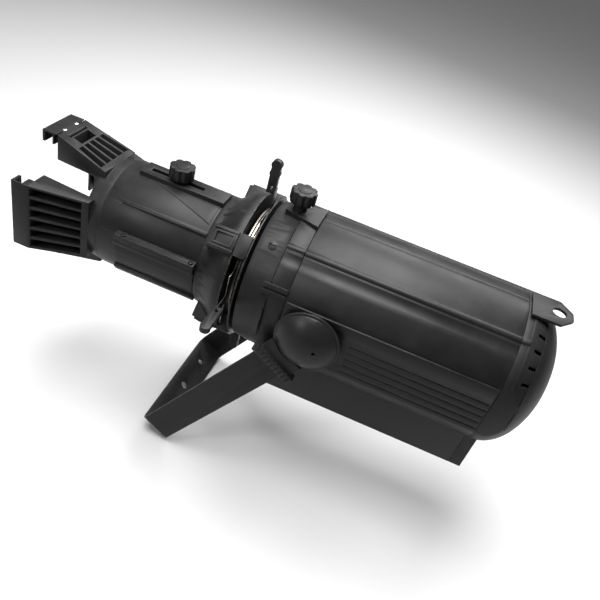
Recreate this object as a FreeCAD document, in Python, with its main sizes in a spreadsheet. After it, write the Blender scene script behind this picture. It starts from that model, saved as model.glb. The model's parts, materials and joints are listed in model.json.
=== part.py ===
import FreeCAD, Part
import math
import os
from types import SimpleNamespace

import Sketcher

# Ellipsoidal (profile) spotlight, in millimetres, +Z up.
#
# Row frame: the origin is the hanging hole in the middle of the yoke's crossbar, on its outer face. The
# optical axis runs along X, with the lens and the accessory holder towards -X and the control end
# towards +X. The near side is -Y.
#
# Head frame: the head's own coordinates, x = 0 at the seam between the front housing and the body shell,
# y = z = 0 on the optical axis. Yoke frame: origin on the tilt axis, arms running down -Z, leaned
# forward about Y by yoke_lean.

DRIVING_SIZES = (
    # body
    ("body_radius", 106, "outer radius of the round body shell"),
    ("body_length", 281, "shell length, front seam to rear seam"),
    ("body_wall", 3, "wall of the shell, the housing and the rear cap"),
    ("flat_half", 98, "half the distance across the two side flats"),
    ("box_half", 73, "half width of the supply box under the body"),
    ("box_depth", 135, "depth of the supply box below the optical axis"),
    ("panel_thick", 3, "thickness of the grooved side panels"),
    ("panel_half", 39, "half height of the grooved side panels"),
    ("groove_pitch", 11, "pitch of the grooves in the side panels"),
    ("bead_radius", 5, "radius of the long bead on each shoulder of the shell"),
    ("bead_height", 2.5, "height of the bead above the shell"),
    ("trough_radius", 22, "radius of the shallow trough beside each bead"),
    ("trough_depth", 1.8, "depth of the trough"),
    ("joint_y", 5, "place of the joint line along the top of the shell"),
    ("cap_length", 60, "length of the rear cap behind the shell"),
    ("cap_straight", 7, "straight stretch of the rear cap before it curves in"),
    ("cap_dome", 62, "how far the cap's curve would reach along the axis if it were not cut off flat"),
    ("foot_length", 16, "length of the rear cap's lower foot"),
    # front housing
    ("housing_length", 62, "front housing, seam to its front face"),
    ("housing_front_radius", 99, "radius of the housing at its front face"),
    ("band_length", 25, "straight band of the housing beside the seam"),
    ("front_wall", 10, "thickness of the housing's front wall"),
    ("bearing_radius", 70, "bore in which the barrel turns"),
    ("running_gap", 0.05, "radial clearance of turning and sliding fits"),
    # gate
    ("gate_radius", 102, "radius of the gate plates"),
    ("gate_gap", 4, "clearance between the housing and the gate"),
    ("gate_depth", 20, "distance over the two gate plates"),
    ("plate_thick", 2, "thickness of a gate plate"),
    ("aperture_radius", 42, "radius of the gate's opening"),
    ("flare_length", 45, "gate cone, gate plate to barrel"),
    ("flare_shoulder", 12, "straight part of the gate cone"),
    ("cone_run", 24, "length of the steep part of the gate cone"),
    ("block_half", 15.5, "half width of a corner block"),
    ("blade_thick", 1, "thickness of a shutter blade"),
    ("blade_half", 39, "half width of a shutter blade"),
    ("handle_half", 7, "half width of a shutter handle"),
    ("grip_half", 7, "half thickness of a shutter's moulded grip along the axis"),
    ("grip_start", 118, "distance of the start of a shutter's grip from the axis"),
    ("handle_reach", 166, "distance of a handle's end from the axis"),
    # barrel
    ("barrel_radius", 78, "outer radius of the lens barrel"),
    ("barrel_wall", 4, "wall of the lens barrel"),
    ("barrel_length", 146, "length of the lens barrel"),
    ("split_height", 15, "height of the joint between the barrel's halves"),
    ("flange_size", 7.5, "height of the barrel's side flanges"),
    ("pad_half", 15, "half width of the raised pad under the focus knob"),
    ("pad_rise", 6, "height of the raised pad above the barrel"),
    ("slot_start", 166, "distance of the focus slot's rear end from the seam"),
    ("slot_length", 78, "length of the focus slot"),
    ("slot_half", 4.2, "half width of the focus slot"),
    # accessory holder
    ("neck_length", 18, "round neck between the barrel and the flares"),
    ("neck_radius", 75, "radius of the neck"),
    ("opening_radius", 60, "clear radius through the holder"),
    ("flare_run", 74, "length of the sloping flares"),
    ("holder_half", 98, "half size of the accessory holder"),
    ("frame_half", 95.5, "half size of an accessory frame with clearance"),
    ("holder_depth", 23, "depth of the straight front of the holder"),
    ("lip_thick", 4, "thickness of the front lips"),
    ("frame_slot", 11, "width of the accessory slot"),
    ("lip_height", 14, "height of the lips"),
    ("side_root_half", 45, "half width of a side flare at the neck"),
    ("side_front_half", 50, "half width of a side flare at the front"),
    ("top_root_half", 38, "half width of the upper and lower flares at the neck"),
    ("top_front_half", 32, "half width of the upper and lower flares at the front"),
    ("rib_thick", 3, "thickness of a flare's ribs"),
    # knobs
    ("knob_radius", 17.5, "radius over the lobes of a clamping knob"),
    ("knob_height", 21, "height of a clamping knob"),
    ("stud_radius", 4, "radius of a clamping stud"),
    ("rotation_knob_x", 33, "distance of the rotation knob from the seam"),
    ("rotation_boss_top", 117, "height of the rotation knob's boss"),
    # yoke
    ("pivot_x", 42, "tilt axis behind the front seam"),
    ("yoke_lean", 32, "lean of the yoke from straight down, degrees"),
    ("yoke_length", 350, "tilt axis to the crossbar's outer face"),
    ("yoke_inner_half", 104, "half the distance between the arms"),
    ("yoke_thick", 4, "thickness of the yoke bar"),
    ("yoke_width", 48, "width of the yoke bar"),
    ("bend_radius", 13, "outer radius of the yoke's bends"),
    ("hanging_hole", 6.2, "radius of the hanging hole"),
    ("side_hole", 5.2, "radius of the outer holes in the crossbar"),
    ("side_hole_pitch", 64, "distance of an outer hole from the middle"),
    ("pivot_radius", 8, "radius of the tilt pivot's bore"),
    ("boss_radius", 26, "radius of the tilt boss"),
    ("washer_thick", 1, "thickness of the friction washer"),
    ("dome_radius", 44, "radius of the domed pivot cap"),
    ("dome_height", 24, "height of the domed pivot cap"),
    ("grip_length", 68, "length of the ribbed tilt grip"),
    ("grip_width", 13, "width of the ribbed tilt grip"),
    ("grip_offset", 60, "distance of the tilt grip from the tilt axis"),
    ("grip_thick", 12, "thickness of the ribbed tilt grip"),
    # optics and internals
    ("lens_radius", 58, "radius of the two barrel lenses"),
    ("lens_thick", 16, "thickness of a barrel lens"),
    ("led_radius", 22, "radius of the light engine's window"),
    ("engine_x", 186, "distance of the light engine behind the seam"),
    ("sink_length", 68, "length of the heat sink"),
    ("sink_half", 62, "half width of the heat sink"),
    ("fan_half", 60, "half size of the fan frame"),
    ("fan_depth", 25, "depth of the fan frame"),
)

doc = FreeCAD.newDocument("spotlight")
sheet = doc.addObject("Spreadsheet::Sheet", "Dims")


class Size:
    """A length that knows both its number and the spreadsheet expression that drives it."""

    def __init__(self, value, text):
        self.value = float(value)
        self.text = text

    def _join(self, sign, other, flipped=False):
        left, right = (other, self) if flipped else (self, other)
        left, right = size(left), size(right)
        number = {
            "+": lambda: left.value + right.value,
            "-": lambda: left.value - right.value,
            "*": lambda: left.value * right.value,
            "/": lambda: left.value / right.value,
        }[sign]()
        return Size(number, f"({left.text} {sign} {right.text})")

    def __add__(self, other):
        return self._join("+", other)

    def __radd__(self, other):
        return self._join("+", other, True)

    def __sub__(self, other):
        return self._join("-", other)

    def __rsub__(self, other):
        return self._join("-", other, True)

    def __mul__(self, other):
        return self._join("*", other)

    def __rmul__(self, other):
        return self._join("*", other, True)

    def __truediv__(self, other):
        return self._join("/", other)

    def __neg__(self):
        return Size(-self.value, f"(-{self.text})")


def size(number):
    """A Size from a Size or a bare number."""
    if isinstance(number, Size):
        return number
    return Size(number, f"({number:.6f})")


def sine(angle):
    return Size(math.sin(math.radians(angle.value)), f"sin({angle.text} * 1 deg)")


def cosine(angle):
    return Size(math.cos(math.radians(angle.value)), f"cos({angle.text} * 1 deg)")


def fill_sheet():
    named = {}
    for row, (name, number, note) in enumerate(DRIVING_SIZES, start=1):
        sheet.set(f"A{row}", name)
        sheet.set(f"B{row}", str(number))
        sheet.setAlias(f"B{row}", name)
        sheet.set(f"C{row}", note)
        named[name] = Size(number, f"Dims.{name}")
    doc.recompute()
    return SimpleNamespace(**named)


d = fill_sheet()

X_AXIS = FreeCAD.Vector(1, 0, 0)
Y_AXIS = FreeCAD.Vector(0, 1, 0)
Z_AXIS = FreeCAD.Vector(0, 0, 1)
ALONG = {
    "x": FreeCAD.Rotation(Y_AXIS, 90),
    "y": FreeCAD.Rotation(X_AXIS, -90),
    "z": FreeCAD.Rotation(),
}
COUNTER = {"next": 0}
nodes = []


# ---- small building helpers -------------------------------------------------------------------------

def new(kind, hint="shape"):
    COUNTER["next"] += 1
    return doc.addObject(kind, f"{hint}_{COUNTER['next']}")


def bind(target, **sizes):
    """Set each property to its number and bind it to the sheet."""
    for name, number in sizes.items():
        number = size(number)
        setattr(target, name, number.value)
        target.setExpression(name, number.text)
    return target


def bind_place(target, x, y, z, rotation=None):
    """Bind the base of a placement to the sheet, with a fixed rotation."""
    x, y, z = size(x), size(y), size(z)
    base = FreeCAD.Vector(x.value, y.value, z.value)
    target.Placement = FreeCAD.Placement(base, rotation or FreeCAD.Rotation())
    target.setExpression("Placement.Base.x", x.text)
    target.setExpression("Placement.Base.y", y.text)
    target.setExpression("Placement.Base.z", z.text)
    return target


def box(x0, x1, y0, y1, z0, z1):
    item = new("Part::Box", "box")
    bind(item, Length=size(x1) - x0, Width=size(y1) - y0, Height=size(z1) - z0)
    return bind_place(item, x0, y0, z0)


def rod(axis, start, end, radius, across=(0, 0)):
    """Cylinder along an axis from start to end; across holds the two other coordinates in XYZ order."""
    item = new("Part::Cylinder", "rod")
    bind(item, Radius=radius, Height=size(end) - start)
    first, second = across
    place = {
        "x": (start, first, second),
        "y": (first, start, second),
        "z": (first, second, start),
    }[axis]
    return bind_place(item, *place, ALONG[axis])


def taper(start, end, start_radius, end_radius):
    """Cone along X from start to end."""
    item = new("Part::Cone", "taper")
    bind(item, Radius1=start_radius, Radius2=end_radius, Height=size(end) - start)
    return bind_place(item, start, 0, 0, ALONG["x"])


def ball(radius, x, y, z):
    item = bind(new("Part::Sphere", "ball"), Radius=radius)
    return bind_place(item, x, y, z)


def ellipsoid(semi_x, semi_radial, x):
    """Solid of an ellipsoid about X, centred at (x, 0, 0)."""
    item = new("Part::Ellipsoid")
    bind(item, Radius1=semi_x, Radius2=semi_radial, Radius3=semi_radial, Angle1=-90, Angle2=90, Angle3=360)
    bind_place(item, x, 0, 0, FreeCAD.Rotation(Y_AXIS, 90))
    return item


def wedge(x0, x1, near, far):
    """Solid between two rectangles across X: near = (y0, y1, z0, z1) at x0, and far at x1."""
    item = new("Part::Wedge", "wedge")
    near_y0, near_y1, near_z0, near_z1 = near
    far_y0, far_y1, far_z0, far_z1 = far
    # the wedge tapers along its own Y axis, which a quarter turn about Z lays along +X
    bind(item, Ymin=0, Ymax=size(x1) - x0)
    bind(item, Xmin=-near_y1, Xmax=-near_y0, Zmin=near_z0, Zmax=near_z1)
    bind(item, X2min=-far_y1, X2max=-far_y0, Z2min=far_z0, Z2max=far_z1)
    return bind_place(item, x0, 0, 0, FreeCAD.Rotation(Z_AXIS, -90))


def fuse(*items):
    """One solid from several; a single item is passed through."""
    if len(items) == 1:
        return items[0]
    item = new("Part::MultiFuse", "fuse")
    item.Shapes = list(items)
    item.Refine = True
    return item


def cut(base, *tools):
    item = new("Part::Cut", "cut")
    item.Base = base
    item.Tool = fuse(*tools)
    item.Refine = True
    return item


def common(first, second):
    item = new("Part::MultiCommon", "common")
    item.Shapes = [first, second]
    return item


def group(*items):
    """Several separate solids kept in one node."""
    item = new("Part::Compound", "group")
    item.Links = list(items)
    return item


def turned(item, axis, angle):
    """An item turned about an axis through the origin."""
    holder = group(item)
    holder.Placement = FreeCAD.Placement(FreeCAD.Vector(), FreeCAD.Rotation(axis, angle))
    return holder


def ring(axis, start, end, outer, inner, across=(0, 0)):
    bore = rod(axis, size(start) - 1, size(end) + 1, inner, across)
    return cut(rod(axis, start, end, outer, across), bore)


def sketch_outline(body, plane_role, points, name):
    """A closed outline of straight lines, every corner held by bound distances from the origin."""
    sketch = body.newObject("Sketcher::SketchObject", name)
    planes = body.Origin.OriginFeatures
    plane = [item for item in planes if item.Role == plane_role][0]
    sketch.AttachmentSupport = (plane, [""])
    sketch.MapMode = "FlatFace"
    corners = [(size(first), size(second)) for first, second in points]
    count = len(corners)
    for index in range(count):
        here, there = corners[index], corners[(index + 1) % count]
        start = FreeCAD.Vector(here[0].value, here[1].value, 0)
        end = FreeCAD.Vector(there[0].value, there[1].value, 0)
        sketch.addGeometry(Part.LineSegment(start, end), False)
    for index in range(count):
        sketch.addConstraint(Sketcher.Constraint("Coincident", index, 2, (index + 1) % count, 1))
    for index, (first, second) in enumerate(corners):
        for kind, distance in (("DistanceX", first), ("DistanceY", second)):
            axis_line = -2 if kind == "DistanceX" else -1
            if abs(distance.value) < 1e-9:
                sketch.addConstraint(Sketcher.Constraint("PointOnObject", index, 1, axis_line))
                continue
            number = sketch.addConstraint(Sketcher.Constraint(kind, -1, 1, index, 1, distance.value))
            sketch.setExpression(f"Constraints[{number}]", distance.text)
    return sketch


def lathe(name, points):
    """A body turned about the X axis from a closed outline of (x, radius) corners."""
    body = doc.addObject("PartDesign::Body", name + "_body")
    sketch = sketch_outline(body, "XY_Plane", points, name + "_outline")
    revolution = body.newObject("PartDesign::Revolution", name + "_turn")
    revolution.Profile = sketch
    revolution.ReferenceAxis = (sketch, ["H_Axis"])
    revolution.Angle = 360
    sketch.Visibility = False
    return body


def plate(name, plane_role, points, thick, midplane=True):
    """A body padded from a closed outline on one of its own planes."""
    body = doc.addObject("PartDesign::Body", name + "_body")
    sketch = sketch_outline(body, plane_role, points, name + "_outline")
    pad = body.newObject("PartDesign::Pad", name + "_pad")
    pad.Profile = sketch
    bind(pad, Length=thick)
    pad.Midplane = midplane
    sketch.Visibility = False
    return body


def rounded(body, radius, chosen):
    """Fillet the tip's edges that chosen(edge) picks."""
    doc.recompute()
    tip = body.Tip
    names = [f"Edge{number}" for number, edge in enumerate(tip.Shape.Edges, start=1) if chosen(edge)]
    fillet = body.newObject("PartDesign::Fillet", body.Name + "_fillet")
    fillet.Base = (tip, names)
    bind(fillet, Radius=radius)
    return body


def finish(item, name, x, z, rotation):
    if item.isDerivedFrom("PartDesign::Body") or item.Placement.isIdentity():
        target = item
    else:
        target = group(item)
    target.Label = name
    bind_place(target, x, 0, z, rotation)
    nodes.append(target)
    return target


PIVOT_ROW_X = d.yoke_length * sine(d.yoke_lean)
PIVOT_ROW_Z = d.yoke_length * cosine(d.yoke_lean)


def on_head(item, name):
    """Name a finished sub-part that was modelled in the head frame."""
    return finish(item, name, PIVOT_ROW_X - d.pivot_x, PIVOT_ROW_Z, FreeCAD.Rotation())


def on_yoke(item, name):
    """Name a finished sub-part that was modelled in the yoke frame."""
    return finish(item, name, PIVOT_ROW_X, PIVOT_ROW_Z, FreeCAD.Rotation(Y_AXIS, d.yoke_lean.value))


def span(side, first, last):
    """Start and end along Y of something that lies between two distances on one side."""
    ends = (side * size(first), side * size(last))
    return sorted(ends, key=lambda item: item.value)


SIDES = (("near", -1), ("far", 1))
EPS = 1  # how far a cutting tool runs past the face it cuts


# ---- body ----------------------------------------------------------------------------------------

def body_section(start, end, inset):
    """Solid of the body's outer section from start to end, drawn in by inset on every face."""
    radius = d.body_radius - inset
    flat = d.flat_half - inset
    round_part = common(
        rod("x", start, end, radius),
        box(start, end, -flat, flat, -(d.body_radius + EPS), d.body_radius + EPS),
    )
    half = d.box_half - inset
    return fuse(round_part, box(start, end, -half, half, -(d.box_depth - inset), 0))


BEAD_ANGLE = 33
TROUGH_ANGLE = 41.2


def beads(start, end):
    """Long rounded beads on both shoulders."""
    centre = d.body_radius + d.bead_height - d.bead_radius
    bead = [rod("x", start, end, d.bead_radius, (0, centre)) for _ in SIDES]
    return [turned(item, X_AXIS, -side * BEAD_ANGLE) for item, (_, side) in zip(bead, SIDES)]


def troughs(start, end):
    """Tools for the shallow troughs under the beads."""
    centre = d.body_radius - d.trough_depth + d.trough_radius
    tools = [rod("x", start - EPS, end + EPS, d.trough_radius, (0, centre)) for _ in SIDES]
    return [turned(item, X_AXIS, -side * TROUGH_ANGLE) for item, (_, side) in zip(tools, SIDES)]


def make_body_shell():
    outer = body_section(0, d.body_length, 0)
    joint = box(-EPS, d.body_length + EPS, d.joint_y, d.joint_y + 1.2, d.body_radius - 1.2, d.body_radius + EPS)
    cavity = body_section(-EPS, d.body_length + EPS, d.body_wall)
    bores = [
        rod("y", side * d.flat_half - 10, side * d.flat_half + 10, d.boss_radius, (d.pivot_x, 0))
        for _, side in SIDES
    ]
    formed = cut(outer, joint, *troughs(0, d.body_length))
    on_head(cut(fuse(formed, *beads(0, d.body_length)), cavity, *bores), "body_shell")


def make_side_panels():
    inner = d.flat_half
    outer = d.flat_half + d.panel_thick
    for word, side in SIDES:
        faces = sorted((side * inner, side * outer), key=lambda item: item.value)
        panel = box(2, d.body_length - 2, faces[0], faces[1], -d.panel_half, d.panel_half)
        grooves = []
        for step in range(5):
            height = step * d.groove_pitch - d.panel_half + 6
            middle = side * outer
            grooves.append(box(d.pivot_x + d.dome_radius + 8, d.body_length, middle - 1, middle + 1,
                               height, height + 2))
        bore = rod("y", side * inner - 10, side * outer + 10, d.boss_radius, (d.pivot_x, 0))
        on_head(cut(panel, bore, *grooves), f"side_panel_{word}")


def make_tilt_bosses():
    """Turned bosses through the side panels; the pivot bolts run in them."""
    face = d.yoke_inner_half - d.washer_thick - d.running_gap
    back = d.flat_half - 16
    for word, side in SIDES:
        start, end = sorted((side * back, side * face), key=lambda item: item.value)
        seat = d.flat_half - d.body_wall
        flange_start, flange_end = sorted((side * (seat - 4), side * seat), key=lambda item: item.value)
        middle = (d.pivot_x, 0)
        outer = rod("y", start, end, d.boss_radius - 0.2, middle)
        flange = rod("y", flange_start, flange_end, d.boss_radius + 6, middle)
        bore = rod("y", start - EPS, end + EPS, d.pivot_radius, middle)
        on_head(cut(fuse(outer, flange), bore), f"tilt_boss_{word}")


BOSS_RADIUS = 9
PAD_HALF = 24


def make_front_housing():
    front = -d.housing_length
    band = -d.band_length
    inner = d.housing_front_radius - d.body_wall - 4
    outer = fuse(
        taper(front, band, d.housing_front_radius, d.body_radius - 3),
        rod("x", band - 0.5, band + EPS, d.body_radius - 3),
        body_section(band, 0, 0),
    )
    formed = cut(outer, *troughs(band, 0))
    cavity = fuse(
        rod("x", front + d.front_wall, EPS, inner),
        box(band + d.body_wall, EPS, -(d.box_half - d.body_wall), d.box_half - d.body_wall,
            -(d.box_depth - d.body_wall), 0),
    )
    pad = wedge(-(d.rotation_knob_x + 16), 0,
                (-BOSS_RADIUS, BOSS_RADIUS, inner - 2, d.rotation_boss_top - 8),
                (-PAD_HALF, PAD_HALF, inner - 2, d.body_radius + 4))
    boss = rod("z", inner - 2, d.rotation_boss_top, BOSS_RADIUS, (-d.rotation_knob_x, 0))
    bore = rod("x", front - EPS, front + d.front_wall + EPS, d.bearing_radius)
    thread = rod("z", d.bearing_radius, d.rotation_boss_top + EPS, d.stud_radius, (-d.rotation_knob_x, 0))
    on_head(cut(fuse(formed, pad, boss, *beads(band, 0)), cavity, bore, thread), "front_housing")


PANEL_HALF = (43, 28)  # half width and half height of the control panel
VENT_ANGLES = range(-60, 61, 12)


def cap_form(inset, end):
    """The cap's round form drawn in by inset: a short cylinder that runs into half an ellipsoid, cut off flat."""
    start = d.body_length
    shoulder = start + d.cap_straight
    radius = d.body_radius - inset
    flat = d.flat_half - inset
    limits = box(start - EPS, end, -flat, flat, -(d.body_radius + EPS), d.body_radius + EPS)
    dome = ellipsoid(d.cap_dome - inset, radius, shoulder)
    front = box(start - EPS, shoulder + 1, -flat, flat, -(d.body_radius + EPS), d.body_radius + EPS)
    straight = common(rod("x", start, shoulder, radius), front)
    return fuse(straight, common(cut(dome, rod("x", 0, shoulder - 0.5, d.body_radius + EPS)), limits))


def make_rear_cap():
    start = d.body_length
    end = start + d.cap_length
    wall = d.body_wall
    foot = box(start, start + d.foot_length, -d.box_half, d.box_half, -d.box_depth, 0)
    foot_cavity = box(start - EPS, start + d.foot_length - wall, -(d.box_half - wall), d.box_half - wall,
                      -(d.box_depth - wall), 0)
    mouth = common(
        rod("x", start - EPS, start + EPS, d.body_radius - wall),
        box(start - 2 * EPS, start + 2 * EPS, -(d.flat_half - wall), d.flat_half - wall,
            -(d.body_radius + EPS), d.body_radius + EPS),
    )
    cavity = fuse(cap_form(wall, end - wall), mouth, foot_cavity)
    half_width, half_height = PANEL_HALF
    window = box(end - 3 * wall, end + EPS, -half_width, half_width, -half_height, half_height)
    slots = []
    for angle in VENT_ANGLES:
        slot = box(start + 18, start + 30, -2, 2, d.body_radius - 30, d.body_radius + 5)
        slots.append(turned(slot, X_AXIS, angle))
    shape = fuse(cap_form(0, end), foot, *beads(start, start + d.cap_straight + 4))
    on_head(cut(shape, cavity, window, *slots, *socket_holes()), "rear_cap")


SOCKET_ROW_Z = -120
SOCKETS = (  # name, y, radius
    ("power", -52, 10.5), ("power", -20, 10.5), ("signal", 16, 10), ("signal", 48, 10),
)


def socket_holes():
    face = d.body_length + d.foot_length
    return [
        rod("x", face - 2 * d.body_wall, face + EPS, radius, (y, SOCKET_ROW_Z))
        for _, y, radius in SOCKETS
    ]


def make_sockets():
    face = d.body_length + d.foot_length
    for kind in ("power", "signal"):
        items = []
        for name, y, radius in SOCKETS:
            if name != kind:
                continue
            across = (y, SOCKET_ROW_Z)
            barrel = rod("x", face - 13, face + 2, radius - 0.2, across)
            flange = rod("x", face, face + 2, radius + 2.5, across)
            hollow = rod("x", face - 9, face + 2 + EPS, radius - 3, across)
            if kind == "power":
                contacts = [box(face - 12, face - 2, y - 1.2, y + 1.2, SOCKET_ROW_Z + step - 0.5,
                                SOCKET_ROW_Z + step + 0.5) for step in (-4, 0, 4)]
            else:
                contacts = [
                    rod("x", face - 12, face - 2, 1, (y + 4 * math.sin(turn), SOCKET_ROW_Z + 4 * math.cos(turn)))
                    for turn in (0, 2.1, 4.2)
                ]
            items.append(fuse(cut(fuse(barrel, flange), hollow), *contacts))
        on_head(group(*items), f"{kind}_sockets")


BUTTON_YS = (-27, -18, -9, 0)
BUTTON_Z = -17
BUTTON_RADIUS = 3.5


def make_control_panel():
    """A recessed panel in the rear face with a display window and four buttons."""
    face = d.body_length + d.cap_length
    half_width, half_height = PANEL_HALF
    front = face - 1
    panel = box(front - 3, front, -(half_width - 0.2), half_width - 0.2, -(half_height - 0.2), half_height - 0.2)
    lip = box(front - 5, front - 3, -(half_width + 3), half_width + 3, -(half_height + 3), half_height + 3)
    hole = box(front - 6, front + EPS, -34, 34, -3, 21)
    bores = [rod("x", front - 6, front + EPS, BUTTON_RADIUS + 0.1, (y, BUTTON_Z)) for y in BUTTON_YS]
    on_head(cut(fuse(panel, lip), hole, *bores), "control_panel")
    on_head(box(front - 3, front - 0.3, -33.8, 33.8, -2.8, 20.8), "display_window")
    for number, y in enumerate(BUTTON_YS, start=1):
        cap = rod("x", front - 5, front + 2, BUTTON_RADIUS, (y, BUTTON_Z))
        collar = rod("x", front - 8, front - 7, BUTTON_RADIUS + 0.8, (y, BUTTON_Z))
        stem = rod("x", front - 8, front - 5, BUTTON_RADIUS - 1, (y, BUTTON_Z))
        on_head(fuse(cap, collar, stem), f"button_{number}")
    board = box(front - 16, front - 14, -44, 44, -28, 28)
    legs = [rod("x", front - 14, front - 5, 2.5, (y, z)) for y in (-41, 41) for z in (-24, 24)]
    on_head(fuse(board, *legs), "control_board")


EYE_HALF = 26
EYE_HOLE = 9


def make_safety_eye():
    """Flat tab on top of the cap for the safety bond."""
    start = d.body_length + 2
    end = d.body_length + d.cap_length - 5
    level = d.body_radius
    outline = ((start, -EYE_HALF), (end - 16, -EYE_HALF), (end, -EYE_HALF + 18), (end, EYE_HALF - 18),
               (end - 16, EYE_HALF), (start, EYE_HALF))
    tab = plate("safety_eye_tab", "XY_Plane", outline, 4, midplane=False)
    bind_place(tab, 0, 0, level + 0.02)
    hole = rod("z", level - EPS, level + 6, EYE_HOLE, (end - 18, 0))
    on_head(cut(tab, hole), "safety_eye")


# ---- gate and shutters ----------------------------------------------------------------------------

GATE_BACK = -(d.housing_length + d.gate_gap)
GATE_FRONT = GATE_BACK - d.gate_depth
FLARE_END = GATE_FRONT - d.flare_length
BARREL_FRONT = FLARE_END - d.barrel_length
NECK_END = BARREL_FRONT - d.neck_length
HOLDER_REAR = NECK_END - d.flare_run
HOLDER_FRONT = HOLDER_REAR - d.holder_depth

SLEEVE_BACK = -20
BARREL_BORE = d.barrel_radius - d.barrel_wall
SPIGOT = 8  # length of the spigots that centre the barrel's two ends
SPIGOT_RADIUS = BARREL_BORE - 0.1

UP, NEAR, DOWN, FAR = 0, 90, 180, -90  # angles about X from straight up towards -Y
SHUTTERS = (("top", UP), ("bottom", DOWN), ("near", NEAR), ("far", FAR))
BLADE_PITCH = 3.8
GATE_MIDDLE = (GATE_BACK + GATE_FRONT) / 2
GRIP_DEEP = 4  # half thickness of a grip across the axis
BLADE_INSET = 1.5
CORNERS = (45, 135, -135, -45)


def make_rotation_sleeve():
    """The sleeve on the gate that turns in the housing's bore, and the ring that keeps it there."""
    outer = d.bearing_radius - d.running_gap
    on_head(ring("x", GATE_BACK, SLEEVE_BACK, outer, outer - 8), "rotation_sleeve")
    start = d.front_wall - d.housing_length + 0.1
    on_head(ring("x", start, start + 5, outer + 9, outer + 0.03), "rotation_ring")


def make_gate_plates():
    on_head(ring("x", GATE_BACK - d.plate_thick, GATE_BACK, d.gate_radius, d.aperture_radius), "gate_rear_plate")
    on_head(ring("x", GATE_FRONT, GATE_FRONT + d.plate_thick, d.gate_radius, d.aperture_radius),
            "gate_front_plate")
    start = GATE_FRONT + d.plate_thick
    end = GATE_BACK - d.plate_thick
    blocks = [
        turned(box(start, end, -d.block_half, d.block_half, d.gate_radius - 20, d.gate_radius + 2), X_AXIS, angle)
        for angle in CORNERS
    ]
    on_head(group(*blocks), "corner_blocks")
    dividers = []
    for number in range(3):
        front = blade_front(number + 1) + d.blade_thick + 0.4
        back = blade_front(number) - 0.4
        dividers.append(ring("x", front, back, d.gate_radius - 20.3, d.aperture_radius))
    on_head(group(*dividers), "gate_dividers")


def blade_front(number):
    """Front face of a shutter blade, counted from the gate's rear plate."""
    return GATE_BACK - d.plate_thick - BLADE_INSET - number * BLADE_PITCH - d.blade_thick


def make_shutters():
    inner = d.aperture_radius + 2
    outer = d.gate_radius - 5
    for number, (word, angle) in enumerate(SHUTTERS):
        front = blade_front(number)
        back = front + d.blade_thick
        blade = box(front, back, -d.blade_half, d.blade_half, inner, outer)
        tongue = box(front, back, -d.handle_half, d.handle_half, outer - 5, d.grip_start + 6)
        low, high = GATE_MIDDLE - d.grip_half, GATE_MIDDLE + d.grip_half
        head_place = d.handle_reach - d.grip_half - 1
        grip = box(low + 1, high - 1, -GRIP_DEEP, GRIP_DEEP, d.grip_start, head_place)
        lobes = [rod("y", -GRIP_DEEP, GRIP_DEEP, d.grip_half, (GATE_MIDDLE, place))
                 for place in (head_place, head_place - 12)]
        hole = rod("y", -(GRIP_DEEP + EPS), GRIP_DEEP + EPS, 2.6, (GATE_MIDDLE, d.grip_start + 8))
        on_head(turned(cut(fuse(blade, tongue, grip, *lobes), hole), X_AXIS, angle), f"shutter_{word}")


def make_gate_cone():
    """Casting that flares from the barrel to the gate, with a raised block at each corner."""
    rim = d.gate_radius - 2
    shoulder = GATE_FRONT - d.flare_shoulder
    wall = d.barrel_wall + 2
    shell = lathe("gate_cone_shell", (
        (GATE_FRONT, rim), (shoulder, rim - 2), (shoulder - d.cone_run, d.barrel_radius + 2),
        (FLARE_END, d.barrel_radius + 1), (FLARE_END, SPIGOT_RADIUS),
        (FLARE_END - SPIGOT, SPIGOT_RADIUS), (FLARE_END - SPIGOT, SPIGOT_RADIUS - 4),
        (FLARE_END, SPIGOT_RADIUS - 4), (shoulder - d.cone_run, d.barrel_radius - 4), (shoulder, rim - 2 - wall),
        (GATE_FRONT, rim - wall),
    ))
    front = FLARE_END + 8
    blocks = [
        turned(
            wedge(front, GATE_FRONT,
                  (-d.block_half, d.block_half, d.barrel_radius - 1, rim + 1),
                  (-d.block_half, d.block_half, rim - 6, rim + 4)),
            X_AXIS, angle)
        for angle in CORNERS
    ]
    on_head(fuse(shell, *blocks), "gate_cone")


# ---- barrel and lenses ----------------------------------------------------------------------------

FOCUS_X = -(d.slot_start + d.slot_length / 2 - 4)
CARRIAGE_HALF = 30
FLANGE_HALF = d.barrel_radius + 9
PAD_TOP = d.barrel_radius + d.pad_rise
SCREW_STATIONS = (FLARE_END - 6, BARREL_FRONT + 42)
BARREL_SCREW_Y = d.barrel_radius + 4.5


def barrel_tube():
    return rod("x", BARREL_FRONT, FLARE_END, d.barrel_radius)


def barrel_rail(angle, width, height):
    rail = box(BARREL_FRONT + 24, FLARE_END, -width / 2, width / 2, d.barrel_radius - 2, d.barrel_radius + height)
    return turned(rail, X_AXIS, angle)


def barrel_cavity():
    return rod("x", BARREL_FRONT - EPS, FLARE_END + EPS, BARREL_BORE)


def barrel_flanges(low, high):
    return [
        box(BARREL_FRONT + 30, FLARE_END, *span(side, BARREL_BORE + 1, FLANGE_HALF), low, high)
        for _, side in SIDES
    ]


def flange_screw_holes():
    return [
        rod("z", d.split_height - d.flange_size - EPS, d.split_height + d.flange_size + EPS, 1.7,
            (x, side * BARREL_SCREW_Y))
        for x in SCREW_STATIONS for _, side in SIDES
    ]


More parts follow.
